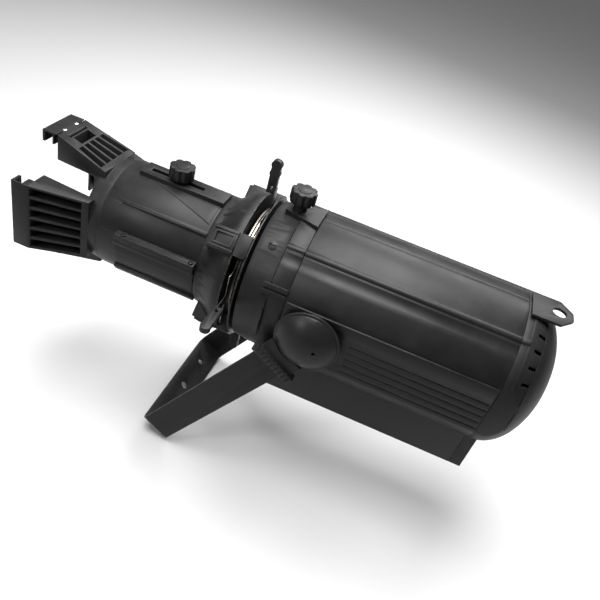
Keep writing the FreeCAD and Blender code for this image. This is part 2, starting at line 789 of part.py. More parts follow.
def make_barrel():
    """Two half shells joined along flanges, with the focus slot in a raised pad on top."""
    reach = FLANGE_HALF + 5
    above = box(BARREL_FRONT, FLARE_END, -reach, reach, d.split_height, reach)
    below = box(BARREL_FRONT, FLARE_END, -reach, reach, -reach, d.split_height)
    pad = box(BARREL_FRONT + 22, FLARE_END, -d.pad_half, d.pad_half, BARREL_BORE - 6, PAD_TOP)
    slot = box(-(d.slot_start + d.slot_length), -d.slot_start, -d.slot_half, d.slot_half, 0, PAD_TOP + EPS)
    rails = [barrel_rail(angle, 5, 3) for angle in (45, -45)]
    upper = fuse(common(barrel_tube(), above), pad, *rails,
                 *barrel_flanges(d.split_height, d.split_height + d.flange_size))
    on_head(cut(upper, barrel_cavity(), slot, *flange_screw_holes()), "barrel_upper")

    rails = [barrel_rail(angle, 12, 4) for angle in (125, -125)] + [barrel_rail(180, 20, 5)]
    lower = fuse(common(barrel_tube(), below), *rails,
                 *barrel_flanges(d.split_height - d.flange_size, d.split_height))
    on_head(cut(lower, barrel_cavity(), *flange_screw_holes()), "barrel_lower")

    top = d.split_height + d.flange_size
    screws = [
        fuse(
            rod("z", top, top + 2.5, 3.2, (x, side * BARREL_SCREW_Y)),
            rod("z", top - 2 * d.flange_size, top, 1.6, (x, side * BARREL_SCREW_Y)),
        )
        for x in SCREW_STATIONS for _, side in SIDES
    ]
    on_head(group(*screws), "barrel_screws")


def plano_lens(flat, apex, radius, curve):
    """Plano-convex lens with its flat face and its apex at the given stations."""
    flat, apex = size(flat), size(apex)
    forward = apex.value < flat.value
    centre = apex + curve if forward else apex - curve
    start, end = (apex, flat) if forward else (flat, apex)
    return common(rod("x", start, end, radius), ball(curve, centre, 0, 0))


def make_lens_carriage():
    """Tube that slides in the barrel and carries the two lenses."""
    front = FOCUS_X - CARRIAGE_HALF
    back = FOCUS_X + CARRIAGE_HALF
    lip = 2
    pocket = d.lens_radius + 0.05
    seat_front = front + lip + d.lens_thick
    seat_back = back - lip - d.lens_thick
    tube = rod("x", front, back, BARREL_BORE - d.running_gap)
    bores = [
        rod("x", front - EPS, back + EPS, d.lens_radius - 4),
        rod("x", front - EPS, seat_front, pocket),
        rod("x", seat_back, back + EPS, pocket),
        rod("z", d.lens_radius + 5, d.barrel_radius, d.stud_radius, (FOCUS_X, 0)),
    ]
    on_head(cut(tube, *bores), "lens_carriage")
    curve = 140
    on_head(plano_lens(seat_front, front + lip, d.lens_radius, curve), "front_lens")
    on_head(plano_lens(seat_back, back - lip, d.lens_radius, curve), "rear_lens")
    on_head(group(
        ring("x", front, front + lip, d.lens_radius, d.lens_radius - 5),
        ring("x", back - lip, back, d.lens_radius, d.lens_radius - 5),
    ), "lens_rings")


# ---- clamping knobs ---------------------------------------------------------------------------------

SCALLOPS = 8
SCALLOP_RADIUS = 3.6


def clamping_knob(name, x, seat, tip):
    """Scalloped knob over a threaded stud with a flange, its axis along Z above (x, 0)."""
    flange_top = seat + d.running_gap + 1
    knob_top = flange_top + d.knob_height
    ring_radius = d.knob_radius + 1.4
    scallops = []
    for number in range(SCALLOPS):
        turn = 2 * math.pi * (number + 0.5) / SCALLOPS
        place = (x + ring_radius * math.cos(turn), ring_radius * math.sin(turn))
        scallops.append(rod("z", flange_top - EPS, knob_top + EPS, SCALLOP_RADIUS, place))
    head = rod("z", flange_top + 4, knob_top, d.knob_radius, (x, 0))
    core = rod("z", flange_top, flange_top + 5, d.knob_radius - 5, (x, 0))
    bore = rod("z", flange_top - EPS, flange_top + 12, d.stud_radius - 0.02, (x, 0))
    on_head(cut(fuse(head, core), bore, *scallops), f"{name}_knob")
    stud = rod("z", tip, flange_top + 12, d.stud_radius - d.running_gap, (x, 0))
    flange = rod("z", seat + d.running_gap, flange_top, d.knob_radius - 9, (x, 0))
    on_head(fuse(stud, flange), f"{name}_stud")


def make_knobs():
    clamping_knob("focus", FOCUS_X, PAD_TOP, d.lens_radius + 6)
    clamping_knob("rotation", -d.rotation_knob_x, d.rotation_boss_top, d.bearing_radius + 0.3)


# ---- accessory holder -------------------------------------------------------------------------------

FLARE_INSIDE = d.opening_radius + 1
FLOOR = FLARE_INSIDE + 2.5


def flare(root_half, front_half, angle, slots, slots_front):
    """One sloping flare, slotted between ribs from slots_front back to the neck."""
    body = wedge(HOLDER_REAR, NECK_END + 3,
                 (-front_half, front_half, FLARE_INSIDE, d.holder_half),
                 (-root_half, root_half, FLARE_INSIDE, d.neck_radius))
    tools = []
    ratio = root_half / front_half
    pitch = (front_half * 2 - d.rib_thick) / slots
    for number in range(slots):
        low = pitch * number - front_half + d.rib_thick
        high = low + pitch - d.rib_thick
        tools.append(wedge(slots_front, NECK_END - 6,
                           (low, high, FLOOR, d.holder_half + EPS),
                           (low * ratio, high * ratio, FLOOR, d.holder_half + EPS)))
    return turned(cut(body, *tools), X_AXIS, angle)


def straight_front(half, angle):
    """Straight front of a flare, with the slot that an accessory frame slides in."""
    block = box(HOLDER_FRONT, HOLDER_REAR + 1, -half, half, LIP_BOTTOM, d.holder_half)
    slot_front = HOLDER_FRONT + d.lip_thick
    slot = box(slot_front, slot_front + d.frame_slot, -(half + EPS), half + EPS, LIP_BOTTOM - EPS, d.frame_half)
    return turned(cut(block, slot), X_AXIS, angle)


LIP_BOTTOM = d.frame_half - d.lip_height
CLIP_HALF = 19.5
CLIP_PIN = 1.6
CLIP_PIN_X = HOLDER_REAR + 5
CLIP_PIN_Z = d.holder_half - 6
CLIP_EARS = 28


def make_accessory_holder():
    neck = lathe("neck", (
        (BARREL_FRONT + SPIGOT, SPIGOT_RADIUS - 6), (BARREL_FRONT + SPIGOT, SPIGOT_RADIUS),
        (BARREL_FRONT, SPIGOT_RADIUS), (BARREL_FRONT, d.barrel_radius - 1), (NECK_END, d.neck_radius),
        (NECK_END - 6, d.neck_radius), (NECK_END - 6, d.opening_radius), (NECK_END, d.opening_radius),
    ))
    side_slots = HOLDER_REAR + d.rib_thick
    top_slots = HOLDER_REAR + 30
    parts = [
        flare(d.side_root_half, d.side_front_half, NEAR, 6, side_slots),
        flare(d.side_root_half, d.side_front_half, FAR, 6, side_slots),
        flare(d.top_root_half, d.top_front_half, UP, 5, top_slots),
        flare(d.top_root_half, d.top_front_half, DOWN, 5, side_slots),
        straight_front(d.side_front_half, NEAR),
        straight_front(d.side_front_half, FAR),
        straight_front(d.top_front_half, DOWN),
    ]
    recess = box(HOLDER_REAR - EPS, HOLDER_REAR + 12, -(CLIP_HALF + 0.5), CLIP_HALF + 0.5, CLIP_PIN_Z - 7,
                 d.holder_half + EPS)
    window = box(HOLDER_REAR + 14, HOLDER_REAR + 27, -17, 17, d.opening_radius - EPS, d.holder_half + EPS)
    pin_hole = rod("y", -(CLIP_EARS + EPS), CLIP_EARS + EPS, CLIP_PIN + d.running_gap, (CLIP_PIN_X, CLIP_PIN_Z))
    on_head(cut(fuse(neck, *parts), recess, window, pin_hole), "accessory_holder")


def make_frame_clip():
    """Hinged top plate with the upper lips; it swings up to let an accessory frame in."""
    half = d.top_front_half
    slot_front = HOLDER_FRONT + d.lip_thick
    top = box(HOLDER_FRONT, HOLDER_REAR - 2, -half, half, d.frame_half + 0.3, d.holder_half)
    tail = box(HOLDER_REAR - 3, CLIP_PIN_X, -CLIP_HALF, CLIP_HALF, CLIP_PIN_Z + 1, d.holder_half - 1)
    lip = box(HOLDER_FRONT, slot_front, -half, half, LIP_BOTTOM, d.holder_half - EPS)
    back_lip = box(slot_front + d.frame_slot, slot_front + d.frame_slot + 3, -half, half, LIP_BOTTOM,
                   d.holder_half - EPS)
    knuckle = rod("y", -CLIP_HALF, CLIP_HALF, CLIP_PIN + 2.4, (CLIP_PIN_X, CLIP_PIN_Z))
    pin = rod("y", -CLIP_EARS, CLIP_EARS, CLIP_PIN, (CLIP_PIN_X, CLIP_PIN_Z))
    on_head(fuse(top, tail, lip, back_lip, knuckle, pin), "frame_clip")


# ---- optics and electronics inside the body --------------------------------------------------------

CELL_FRONT = 84
CELL_BACK = 120
ROD_RING = 84
ROD_RADIUS = 4
CELL_HALF = 66


def tie_rod_places():
    offset = ROD_RING * math.sqrt(0.5)
    return [(y, z) for y in (-offset, offset) for z in (-offset, offset)]


def make_optics():
    sink_front = d.engine_x + 4
    front_wall = d.front_wall - d.housing_length
    on_head(group(*[rod("x", front_wall, sink_front, ROD_RADIUS, place) for place in tie_rod_places()]),
            "tie_rods")
    pocket = 62
    cell = cut(
        box(CELL_FRONT, CELL_BACK, -CELL_HALF, CELL_HALF, -CELL_HALF, CELL_HALF),
        rod("x", CELL_FRONT - EPS, CELL_BACK + EPS, pocket - 4),
        rod("x", CELL_FRONT + 14, CELL_BACK + EPS, pocket + 0.05),
        *[rod("x", CELL_FRONT - EPS, CELL_BACK + EPS, ROD_RADIUS + 0.05, place) for place in tie_rod_places()],
    )
    on_head(cell, "lens_cell")
    on_head(plano_lens(CELL_FRONT + 14, CELL_FRONT + 34, pocket, 110), "condenser_lens")
    mouth, throat = 72, 26
    on_head(lathe("reflector", (
        (CELL_BACK, mouth - 10), (CELL_BACK, mouth), (CELL_BACK + 3, mouth), (d.engine_x - 1, throat + 3),
        (d.engine_x - 1, throat), (CELL_BACK + 3, mouth - 10),
    )), "reflector")
    window_back = d.engine_x
    on_head(rod("x", window_back - 2, window_back, d.led_radius), "led_window")
    on_head(box(window_back, sink_front, -35, 35, -35, 35), "led_board")


def make_heat_sink():
    start = d.engine_x + 4
    end = start + d.sink_length
    base = box(start, start + 8, -(d.sink_half + 4), d.sink_half + 4, -(d.sink_half + 4), d.sink_half + 4)
    reach = d.flat_half - d.body_wall
    wings = box(start, start + 8, -reach, reach, -14, 14)
    fins = []
    count = 13
    pitch = (2 * d.sink_half - 2.5) / (count - 1)
    for number in range(count):
        low = pitch * number - d.sink_half
        fins.append(box(start + 7, end, low, low + 2.5, -d.sink_half, d.sink_half))
    on_head(fuse(base, wings, *fins), "heat_sink")


def make_fan():
    start = d.engine_x + 4 + d.sink_length
    end = start + d.fan_depth
    half = d.fan_half
    frame = box(start, end, -half, half, -half, half)
    tunnel = rod("x", start - EPS, end + EPS, half - 4)
    spokes = [turned(box(end - 4, end, -2, 2, 0, half - 2), X_AXIS, angle) for angle in (45, 135, -135, -45)]
    hub = rod("x", end - 4, end, 20)
    axle = rod("x", start + 4, end - 3, 3)
    on_head(fuse(cut(frame, tunnel), hub, axle, *spokes), "fan_frame")
    rotor_end = end - 5
    rotor_hub = rod("x", start + 2, rotor_end, 19)
    blades = []
    for number in range(7):
        blade = box(start + 4, rotor_end - 1, -1, 1, 10, half - 6)
        blades.append(turned(blade, X_AXIS, 360 * number / 7))
    bore = rod("x", start + 3, rotor_end + EPS, 3 + d.running_gap)
    on_head(cut(fuse(rotor_hub, *blades), bore), "fan_rotor")


def make_electronics():
    floor = -(d.box_depth - d.body_wall)
    top = floor + 45
    supply = box(60, 230, -55, 55, floor, top)
    slots = [box(70 + 12 * number, 74 + 12 * number, -40, 40, top - 2, top + EPS) for number in range(8)]
    on_head(cut(supply, *slots), "power_supply")
    board = box(180, 228, -45, 45, top + 4, top + 6)
    legs = [rod("z", top, top + 4, 3, (x, y)) for x in (186, 222) for y in (-38, 38)]
    parts = [box(190, 206, -20, 10, top + 6, top + 14), rod("z", top + 6, top + 16, 6, (216, 24))]
    on_head(fuse(board, *legs, *parts), "driver_board")


# ---- yoke ---------------------------------------------------------------------------------------------

def make_yoke_bar():
    inner = d.yoke_inner_half
    outer = inner + d.yoke_thick
    top = d.yoke_width / 2
    bottom = -d.yoke_length
    outline = (
        (outer, top), (outer, bottom), (-outer, bottom), (-outer, top),
        (-inner, top), (-inner, bottom + d.yoke_thick), (inner, bottom + d.yoke_thick), (inner, top),
    )
    bar = plate("yoke_bar", "YZ_Plane", outline, d.yoke_width)

    def at_bend(half, level):
        return lambda edge: (len(edge.Vertexes) == 2
                             and all(abs(abs(corner.Y) - half.value) < 0.01 for corner in edge.Vertexes)
                             and all(abs(corner.Z - level.value) < 0.01 for corner in edge.Vertexes)
                             and abs(edge.Vertexes[0].Y - edge.Vertexes[1].Y) < 0.01)

    rounded(bar, d.bend_radius, at_bend(outer, bottom))
    rounded(bar, d.bend_radius - d.yoke_thick, at_bend(inner, bottom + d.yoke_thick))
    below, above = bottom - EPS, bottom + d.yoke_thick + EPS
    holes = [rod("z", below, above, d.hanging_hole, (0, 0))]
    holes += [rod("z", below, above, d.side_hole, (0, side * d.side_hole_pitch)) for _, side in SIDES]
    holes.append(rod("y", -(outer + EPS), outer + EPS, d.pivot_radius))
    on_yoke(cut(bar, *holes), "yoke_bar")


def make_pivots():
    arm_in = d.yoke_inner_half
    arm_out = arm_in + d.yoke_thick
    shank = d.pivot_radius - d.running_gap
    boss_back = d.flat_half - 16
    washers = []
    bolts = []
    for _, side in SIDES:
        washers.append(ring("y", *span(side, arm_in - d.washer_thick, arm_in), d.boss_radius - 1, shank + 0.1))
        bolts.append(fuse(
            rod("y", *span(side, boss_back - 8, arm_out), shank),
            rod("y", *span(side, arm_out, arm_out + BOLT_HEAD), BOLT_HEAD_RADIUS),
            rod("y", *span(side, boss_back - 8, boss_back - 0.1), 13),
        ))
    on_yoke(group(*washers), "tilt_washers")
    on_yoke(group(*bolts), "pivot_bolts")


BOLT_HEAD = 9
BOLT_HEAD_RADIUS = 14
HANDLE_GAP = 0.4
SCREW_HOLE = (10.7, 10.2)
GRIP_GROOVES = 9


def make_lock_handles():
    """Domed clamping handle over each pivot bolt, with a ribbed grip at the end of its short web."""
    base = d.yoke_inner_half + d.yoke_thick + HANDLE_GAP
    rim_top = base + 3
    dome_base_radius = d.dome_radius - 2.5
    rise = d.dome_height - 3
    curve = (dome_base_radius * dome_base_radius + rise * rise) / (2 * rise)
    crown = base + d.dome_height
    centre_distance = crown - curve
    half = d.grip_length / 2
    low = -(d.grip_offset + d.grip_width / 2)
    high = -(d.grip_offset - d.grip_width / 2)
    for word, side in SIDES:
        start, end = span(side, base + 1, crown + EPS)
        dome = common(ball(curve, 0, side * centre_distance, 0), rod("y", start, end, dome_base_radius - 1))
        rim = rod("y", *span(side, base, rim_top), d.dome_radius)
        hollow = common(ball(curve - 3, 0, side * centre_distance, 0),
                        rod("y", *span(side, base - EPS, crown), d.dome_radius + 20))
        hub = rod("y", *span(side, base, crown - 4.5), BOLT_HEAD_RADIUS + 4)
        bore = rod("y", *span(side, base - EPS, base + BOLT_HEAD + 1), BOLT_HEAD_RADIUS + d.running_gap)
        screw_hole = rod("y", *span(side, base + 6, crown + EPS), 2.4, SCREW_HOLE)
        y0, y1 = span(side, base, base + 5)
        web = box(-half + 6, half - 6, y0, y1, low + 2, -(d.dome_radius - 8))
        y0, y1 = span(side, base, base + d.grip_thick)
        grip = box(-half, half, y0, y1, low, high)
        y0, y1 = span(side, base + d.grip_thick - 2, base + d.grip_thick + EPS)
        pitch = (d.grip_length - 12) / (GRIP_GROOVES - 1)
        grooves = []
        for number in range(GRIP_GROOVES):
            middle = number * pitch - half + 6
            grooves.append(box(middle - 1.2, middle + 1.2, y0, y1, low - EPS, high + EPS))
        shell = cut(fuse(dome, rim), hollow)
        web_clear = rod("y", *span(side, base - EPS, base + 5 + EPS), d.dome_radius - 3)
        on_yoke(cut(fuse(shell, hub, cut(web, web_clear), cut(grip, *grooves)), bore, screw_hole),
                f"lock_handle_{word}")


make_body_shell()
make_side_panels()
make_tilt_bosses()
make_front_housing()
make_rear_cap()
make_sockets()
make_control_panel()
make_safety_eye()
make_rotation_sleeve()
make_gate_plates()
make_shutters()
make_gate_cone()
make_barrel()
make_lens_carriage()
make_knobs()
make_accessory_holder()
make_frame_clip()
make_optics()
make_heat_sink()
make_fan()
make_electronics()
make_yoke_bar()
make_pivots()
make_lock_handles()


# ---- check and write ------------------------------------------------------------------------------

def write_parts():
    doc.recompute()
    for item in doc.Objects:
        if "Invalid" in item.State or "Error" in item.State:
            raise RuntimeError(f"{item.Label}: {item.State}")
    labels = [item.Label for item in nodes]
    if len(set(labels)) != len(labels):
        raise RuntimeError("two sub-parts share a name")
    for item in nodes:
        shape = item.Shape
        if shape.isNull() or not shape.isValid() or not shape.Solids:
            raise RuntimeError(f"{item.Label}: empty or invalid shape")
    os.makedirs("parts", exist_ok=True)
    for item in nodes:
        item.Shape.exportStep(os.path.join("parts", item.Label + ".step"))
    print(len(nodes), "sub-parts written")


write_parts()
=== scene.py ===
"""Looks of an ellipsoidal spotlight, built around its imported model.

Lengths are metres in the model's frame. Shapes are written in millimetres of the head frame, whose
origin lies on the optical axis at the seam between the front housing and the body, with X towards
the control end and Z up. at() turns such a place into the model's frame.
"""
import json
import math

import bpy
from bpy.props import FloatProperty, FloatVectorProperty, IntProperty, PointerProperty
from mathutils import Matrix, Vector


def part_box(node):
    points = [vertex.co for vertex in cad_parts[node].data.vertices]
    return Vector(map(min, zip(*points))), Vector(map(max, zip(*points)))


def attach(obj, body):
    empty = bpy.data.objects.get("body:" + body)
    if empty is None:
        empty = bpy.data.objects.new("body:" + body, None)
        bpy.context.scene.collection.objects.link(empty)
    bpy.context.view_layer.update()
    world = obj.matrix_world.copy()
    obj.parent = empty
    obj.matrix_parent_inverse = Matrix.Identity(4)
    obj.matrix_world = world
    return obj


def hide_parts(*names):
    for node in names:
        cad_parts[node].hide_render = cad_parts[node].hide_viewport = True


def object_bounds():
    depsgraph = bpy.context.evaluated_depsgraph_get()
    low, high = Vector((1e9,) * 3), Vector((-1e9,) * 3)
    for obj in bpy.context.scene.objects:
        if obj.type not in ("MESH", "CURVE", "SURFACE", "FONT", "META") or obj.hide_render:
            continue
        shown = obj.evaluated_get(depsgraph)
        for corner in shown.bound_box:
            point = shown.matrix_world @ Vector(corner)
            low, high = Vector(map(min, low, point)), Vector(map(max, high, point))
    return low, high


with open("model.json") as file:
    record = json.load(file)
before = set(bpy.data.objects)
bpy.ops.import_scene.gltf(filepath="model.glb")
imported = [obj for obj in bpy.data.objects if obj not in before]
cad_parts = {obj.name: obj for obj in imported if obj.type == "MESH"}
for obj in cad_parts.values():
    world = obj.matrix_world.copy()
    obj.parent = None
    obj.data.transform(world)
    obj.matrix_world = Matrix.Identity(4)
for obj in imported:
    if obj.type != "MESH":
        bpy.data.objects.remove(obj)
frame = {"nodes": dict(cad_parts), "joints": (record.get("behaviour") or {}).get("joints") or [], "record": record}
CAD_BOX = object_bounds()

bl_info = {
    "name": "Ellipsoidal Spotlight",
    "version": (1, 0, 0),
    "blender": (4, 5, 0),
    "location": "View3D > Sidebar > Spotlight",
    "description": "Builds the finished surfaces of an ellipsoidal spotlight around its packed model",
    "category": "Object",
}

MM = 0.001
JOINTS = {joint["name"]: joint for joint in frame["joints"]}
TILT = Vector(JOINTS["tilt"]["pos_m"])
HEAD = Vector((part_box("body_shell")[0].x, 0.0, TILT.z))
EDGE = 0.7 * MM


# ---- settings -------------------------------------------------------------------------------------

def length(name, description, default):
    return FloatProperty(name=name, description=description, default=default, min=0.0, unit="LENGTH")


def colour(name, description, default):
    return FloatVectorProperty(name=name, description=description, default=default, size=3, min=0.0,
                               max=1.0, subtype="COLOR")


def share(name, description, default):
    return FloatProperty(name=name, description=description, default=default, min=0.0, max=1.0,
                         subtype="FACTOR")


class SPOTLIGHT_PG_finishes(bpy.types.PropertyGroup):
    """Colours and glosses of the finishes."""

    coat_colour: colour("Coat colour", "Base colour of the powder coat", (0.0048, 0.0048, 0.005))
    shell_roughness: share("Shell roughness", "Roughness of the extruded shell", 0.40)
    casting_roughness: share("Casting roughness", "Roughness of the cast housings", 0.42)
    plastic_colour: colour("Plastic colour", "Base colour of the moulded handles and knobs",
                           (0.006, 0.006, 0.006))
    plastic_roughness: share("Plastic roughness", "Roughness of the moulded handles and knobs", 0.38)
    blade_colour: colour("Blade colour", "Colour of the shutter blades", (0.05, 0.05, 0.052))
    bare_colour: colour("Bare metal colour", "Colour of worn edges and plated fasteners", (0.55, 0.55, 0.56))
    dust: share("Dust", "How much fine dust lies on surfaces that face up", 0.10)


class SPOTLIGHT_PG_stage(bpy.types.PropertyGroup):
    """Camera, light and floor."""

    heading: FloatProperty(name="Camera heading", description="Turn of the camera about the vertical",
                           default=math.radians(7.73), subtype="ANGLE")
    pitch: FloatProperty(name="Camera pitch", description="How far the camera looks down",
                         default=math.radians(37.81), subtype="ANGLE")
    roll: FloatProperty(name="Camera roll", description="Turn of the camera about its own line of sight",
                        default=math.radians(17.72), subtype="ANGLE")
    lens: FloatProperty(name="Focal length", description="Focal length of the camera", default=37.93,
                        min=10.0, unit="CAMERA")
    floor_colour: colour("Floor colour", "Colour of the floor", (0.55, 0.55, 0.55))
    light_power: FloatProperty(name="Light power", description="Power of the overhead light", default=80.0,
                               min=0.0, unit="POWER")


def finishes():
    return bpy.context.scene.spotlight_finishes


# ---- modelling helpers -----------------------------------------------------------------------------

def at(x, y, z):
    """A place of the head frame, in millimetres, in the model's frame."""
    return HEAD + Vector((x, y, z)) * MM


def fresh():
    """Leave edit mode and deselect everything."""
    if bpy.context.object is not None and bpy.context.object.mode != "OBJECT":
        bpy.ops.object.mode_set(mode="OBJECT")
    bpy.ops.object.select_all(action="DESELECT")


def choose(*objects):
    """Select these objects alone, the first of them active."""
    fresh()
    for item in objects:
        item.select_set(True)
    bpy.context.view_layer.objects.active = objects[0]


def settle(name):
    """Name the active object and put its place into its mesh."""
    item = bpy.context.object
    item.name = name
    item.data.name = name
    bpy.ops.object.transform_apply(location=True, rotation=True, scale=True)
    return item


def edit(item):
    """Enter edit mode on one object with everything selected."""
    choose(item)
    bpy.ops.object.mode_set(mode="EDIT")
    bpy.ops.mesh.select_mode(type="VERT")
    bpy.ops.mesh.select_all(action="SELECT")


def leave():
    bpy.ops.object.mode_set(mode="OBJECT")


def tidy_mesh(item):
    """Merge doubles and turn the faces outwards."""
    edit(item)
    bpy.ops.mesh.remove_doubles(threshold=1e-6)
    bpy.ops.mesh.normals_make_consistent(inside=False)
    leave()
    return item


def block(name, low, high):
    """A box between two corners of the head frame."""
    fresh()
    low, high = at(*low), at(*high)
    bpy.ops.mesh.primitive_cube_add(size=1, location=(low + high) / 2, scale=high - low)
    return settle(name)


CAP_RADIUS = 106  # the cap's round form, its shoulder's station and how far its curve would reach
CAP_SHOULDER = 288
CAP_CURVE = 62
CAP_FLAT = 97  # where a cap band ends at the flat sides
BARREL_RADIUS = 78
HOUSING_RADIUS = 103
GRIP_START = 108  # distance from the axis where a shutter's moulded grip takes over from its steel

TURN_TO = {"x": (0, math.pi / 2, 0), "y": (-math.pi / 2, 0, 0), "z": (0, 0, 0)}


def rod(name, axis, start, end, radius, across=(0, 0), sides=48):
    """A cylinder along an axis of the head frame; across holds its other two coordinates in XYZ order."""
    fresh()
    middle = (start + end) / 2
    first, second = across
    centre = {"x": (middle, first, second), "y": (first, middle, second), "z": (first, second, middle)}[axis]
    bpy.ops.mesh.primitive_cylinder_add(vertices=sides, radius=radius * MM, depth=abs(end - start) * MM,
                                        location=at(*centre), rotation=TURN_TO[axis])
    return settle(name)


def lathe(name, points, axis="x", across=(0, 0), sides=96):
    """A solid turned about an axis; points are (station, radius) and the outline closes on itself."""
    fresh()
    first, second = across
    direction = {"x": Vector((1, 0, 0)), "y": Vector((0, 1, 0)), "z": Vector((0, 0, 1))}[axis]

    def centre(station):
        return at(*{"x": (station, first, second), "y": (first, station, second),
                    "z": (first, second, station)}[axis])

    station, radius = points[0]
    bpy.ops.mesh.primitive_circle_add(vertices=sides, radius=max(radius, 0.01) * MM, fill_type="NOTHING",
                                      location=centre(station), rotation=TURN_TO[axis])
    item = settle(name)
    edit(item)
    for (start, near), (end, far) in zip(points, points[1:] + points[:1]):
        near, far = max(near, 0.01), max(far, 0.01)
        bpy.ops.mesh.extrude_edges_move(TRANSFORM_OT_translate={"value": direction * (end - start) * MM})
        scale = [far / near if part == 0 else 1.0 for part in direction]
        bpy.ops.transform.resize(value=scale, center_override=centre(end))
    leave()
    edit(item)
    bpy.ops.mesh.remove_doubles(threshold=2e-5 if min(point[1] for point in points) <= 0 else 1e-6)
    bpy.ops.mesh.normals_make_consistent(inside=False)
    leave()
    return item


def turn(item, axis, degrees, centre=(0, 0, 0)):
    """Turn a mesh about an axis through a place of the head frame."""
    middle = Matrix.Translation(at(*centre))
    item.data.transform(middle @ Matrix.Rotation(math.radians(degrees), 4, axis.upper()) @ middle.inverted())
    return item


def twin(item, name):
    """A copy with its own mesh."""
    choose(item)
    bpy.ops.object.duplicate()
    copy = bpy.context.object
    copy.name = name
    copy.data.name = name
    return copy


def mirrored(item, name):
    """A copy mirrored to the other side of the head's middle plane."""
    copy = twin(item, name)
    copy.data.transform(Matrix.Scale(-1, 4, Vector((0, 1, 0))))
    return tidy_mesh(copy)


def apply_modifier(item, kind, **settings):
    """Add a modifier with these settings and apply it."""
    choose(item)
    modifier = item.modifiers.new(kind.title(), kind)
    for key, value in settings.items():
        setattr(modifier, key, value)
    bpy.ops.object.modifier_apply(modifier=modifier.name)
    return item


def carve(item, *tools, operation="DIFFERENCE"):
    """Cut tools out of an item, or with UNION add them to it."""
    for tool in tools:
        apply_modifier(item, "BOOLEAN", operation=operation, object=tool, solver="EXACT")
        bpy.data.objects.remove(tool)
    return item


def join(name, *items):
    choose(*items)
    bpy.ops.object.join()
    item = bpy.context.object
    item.name = name
    item.data.name = name
    return item


def soften(item, width=EDGE, segments=2, angle=35, smooth=35):
    """Round the sharp edges and shade what is left smooth."""
    apply_modifier(item, "BEVEL", width=width, segments=segments, limit_method="ANGLE",
                   angle_limit=math.radians(angle), use_clamp_overlap=False, harden_normals=False)
    choose(item)
    bpy.ops.object.shade_smooth_by_angle(angle=math.radians(smooth))
    return item


def merged_copy(node, name):
    """A merged copy of a packed sub-part, with its flat faces whole again."""
    mesh = frame["nodes"][node].data.copy()
    item = bpy.data.objects.new(name, mesh)
    bpy.context.scene.collection.objects.link(item)
    mesh.materials.clear()
    edit(item)
    bpy.ops.mesh.remove_doubles(threshold=1e-6)
    bpy.ops.mesh.dissolve_limited(angle_limit=math.radians(0.5))
    leave()
    return item


def wrapped_plate(name, radius, rise, near_line, far_line, stations, steps=16, sink=3.0):
    """A raised plate that follows a round surface about the optical axis. near_line and far_line are pairs
    of angles from straight up towards -Y, in degrees, at the two stations."""
    fresh()
    bpy.ops.mesh.primitive_grid_add(x_subdivisions=steps, y_subdivisions=steps, size=1)
    item = bpy.context.object
    start, end = stations
    for vertex in item.data.vertices:
        along, across = vertex.co.x + 0.5, vertex.co.y + 0.5
        near = near_line[0] + (near_line[1] - near_line[0]) * along
        far = far_line[0] + (far_line[1] - far_line[0]) * along
        angle = math.radians(near + (far - near) * across)
        reach = radius + rise
        vertex.co = at(start + (end - start) * along, -reach * math.sin(angle), reach * math.cos(angle))
    item = settle(name)
    edit(item)
    bpy.ops.mesh.normals_make_consistent(inside=False)
    leave()
    middle = item.data.polygons[len(item.data.polygons) // 2]
    outward = (middle.center - HEAD) * Vector((0, 1, 1))
    if middle.normal.dot(outward) < 0:
        edit(item)
        bpy.ops.mesh.flip_normals()
        leave()
    return apply_modifier(item, "SOLIDIFY", thickness=(rise + sink) * MM, offset=-1.0)


def slotted_screw(name, radius, height, x, level, angle, slot=0.9):
    """A slotted cheese head that stands on the round surface at an angle from straight up towards -Y."""
    head = rod(name, "z", level, level + height, radius, (x, 0), sides=32)
    carve(head, block("slot tool", (x - radius - 1, -slot, level + height * 0.45),
                      (x + radius + 1, slot, level + height + 1)))
    return turn(head, "x", angle)


def hand_over(item, material, body, *nodes):
    """Give a finished piece its finish, the body it rides on and the sub-parts it stands for."""
    item.data.materials.clear()
    item.data.materials.append(material)
    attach(item, body)
    if nodes:
        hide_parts(*nodes)
    return item


def keep(node, material):
    """Leave a packed sub-part as it is and give it a finish."""
    item = frame["nodes"][node]
    if not item.material_slots:
        item.data.materials.append(material)
    for place in item.material_slots:
        place.material = material
    return item


BODY_OF = {node: body for body, members in frame["record"]["behaviour"]["bodies"].items() for node in members}


def refine(node, material, width=EDGE, segments=2, angle=35):
    """Replace a sub-part by a copy of itself with rounded edges."""
    item = soften(merged_copy(node, node + "_finished"), width, segments, angle)
    return hand_over(item, material, BODY_OF[node], node)


# ---- shader groups ---------------------------------------------------------------------------------

def new_group(name, inputs, outputs):
    group = bpy.data.node_groups.new(name, "ShaderNodeTree")
    for label, kind, default in inputs:
        socket = group.interface.new_socket(name=label, in_out="INPUT", socket_type=kind)
        socket.default_value = default
    for label, kind in outputs:
        group.interface.new_socket(name=label, in_out="OUTPUT", socket_type=kind)
    start = group.nodes.new("NodeGroupInput")
    end = group.nodes.new("NodeGroupOutput")
    return group, start, end


def node(tree, kind, **settings):
    made = tree.nodes.new(kind)
    for key, value in settings.items():
        setattr(made, key, value)
    return made


def math_node(tree, operation, first, second=None, clamp=False):
    made = node(tree, "ShaderNodeMath", operation=operation, use_clamp=clamp)
    for index, value in enumerate((first, second)):
        if value is None:
            continue
        if isinstance(value, (int, float)):
            made.inputs[index].default_value = value
        else:
            tree.links.new(value, made.inputs[index])
    return made.outputs[0]


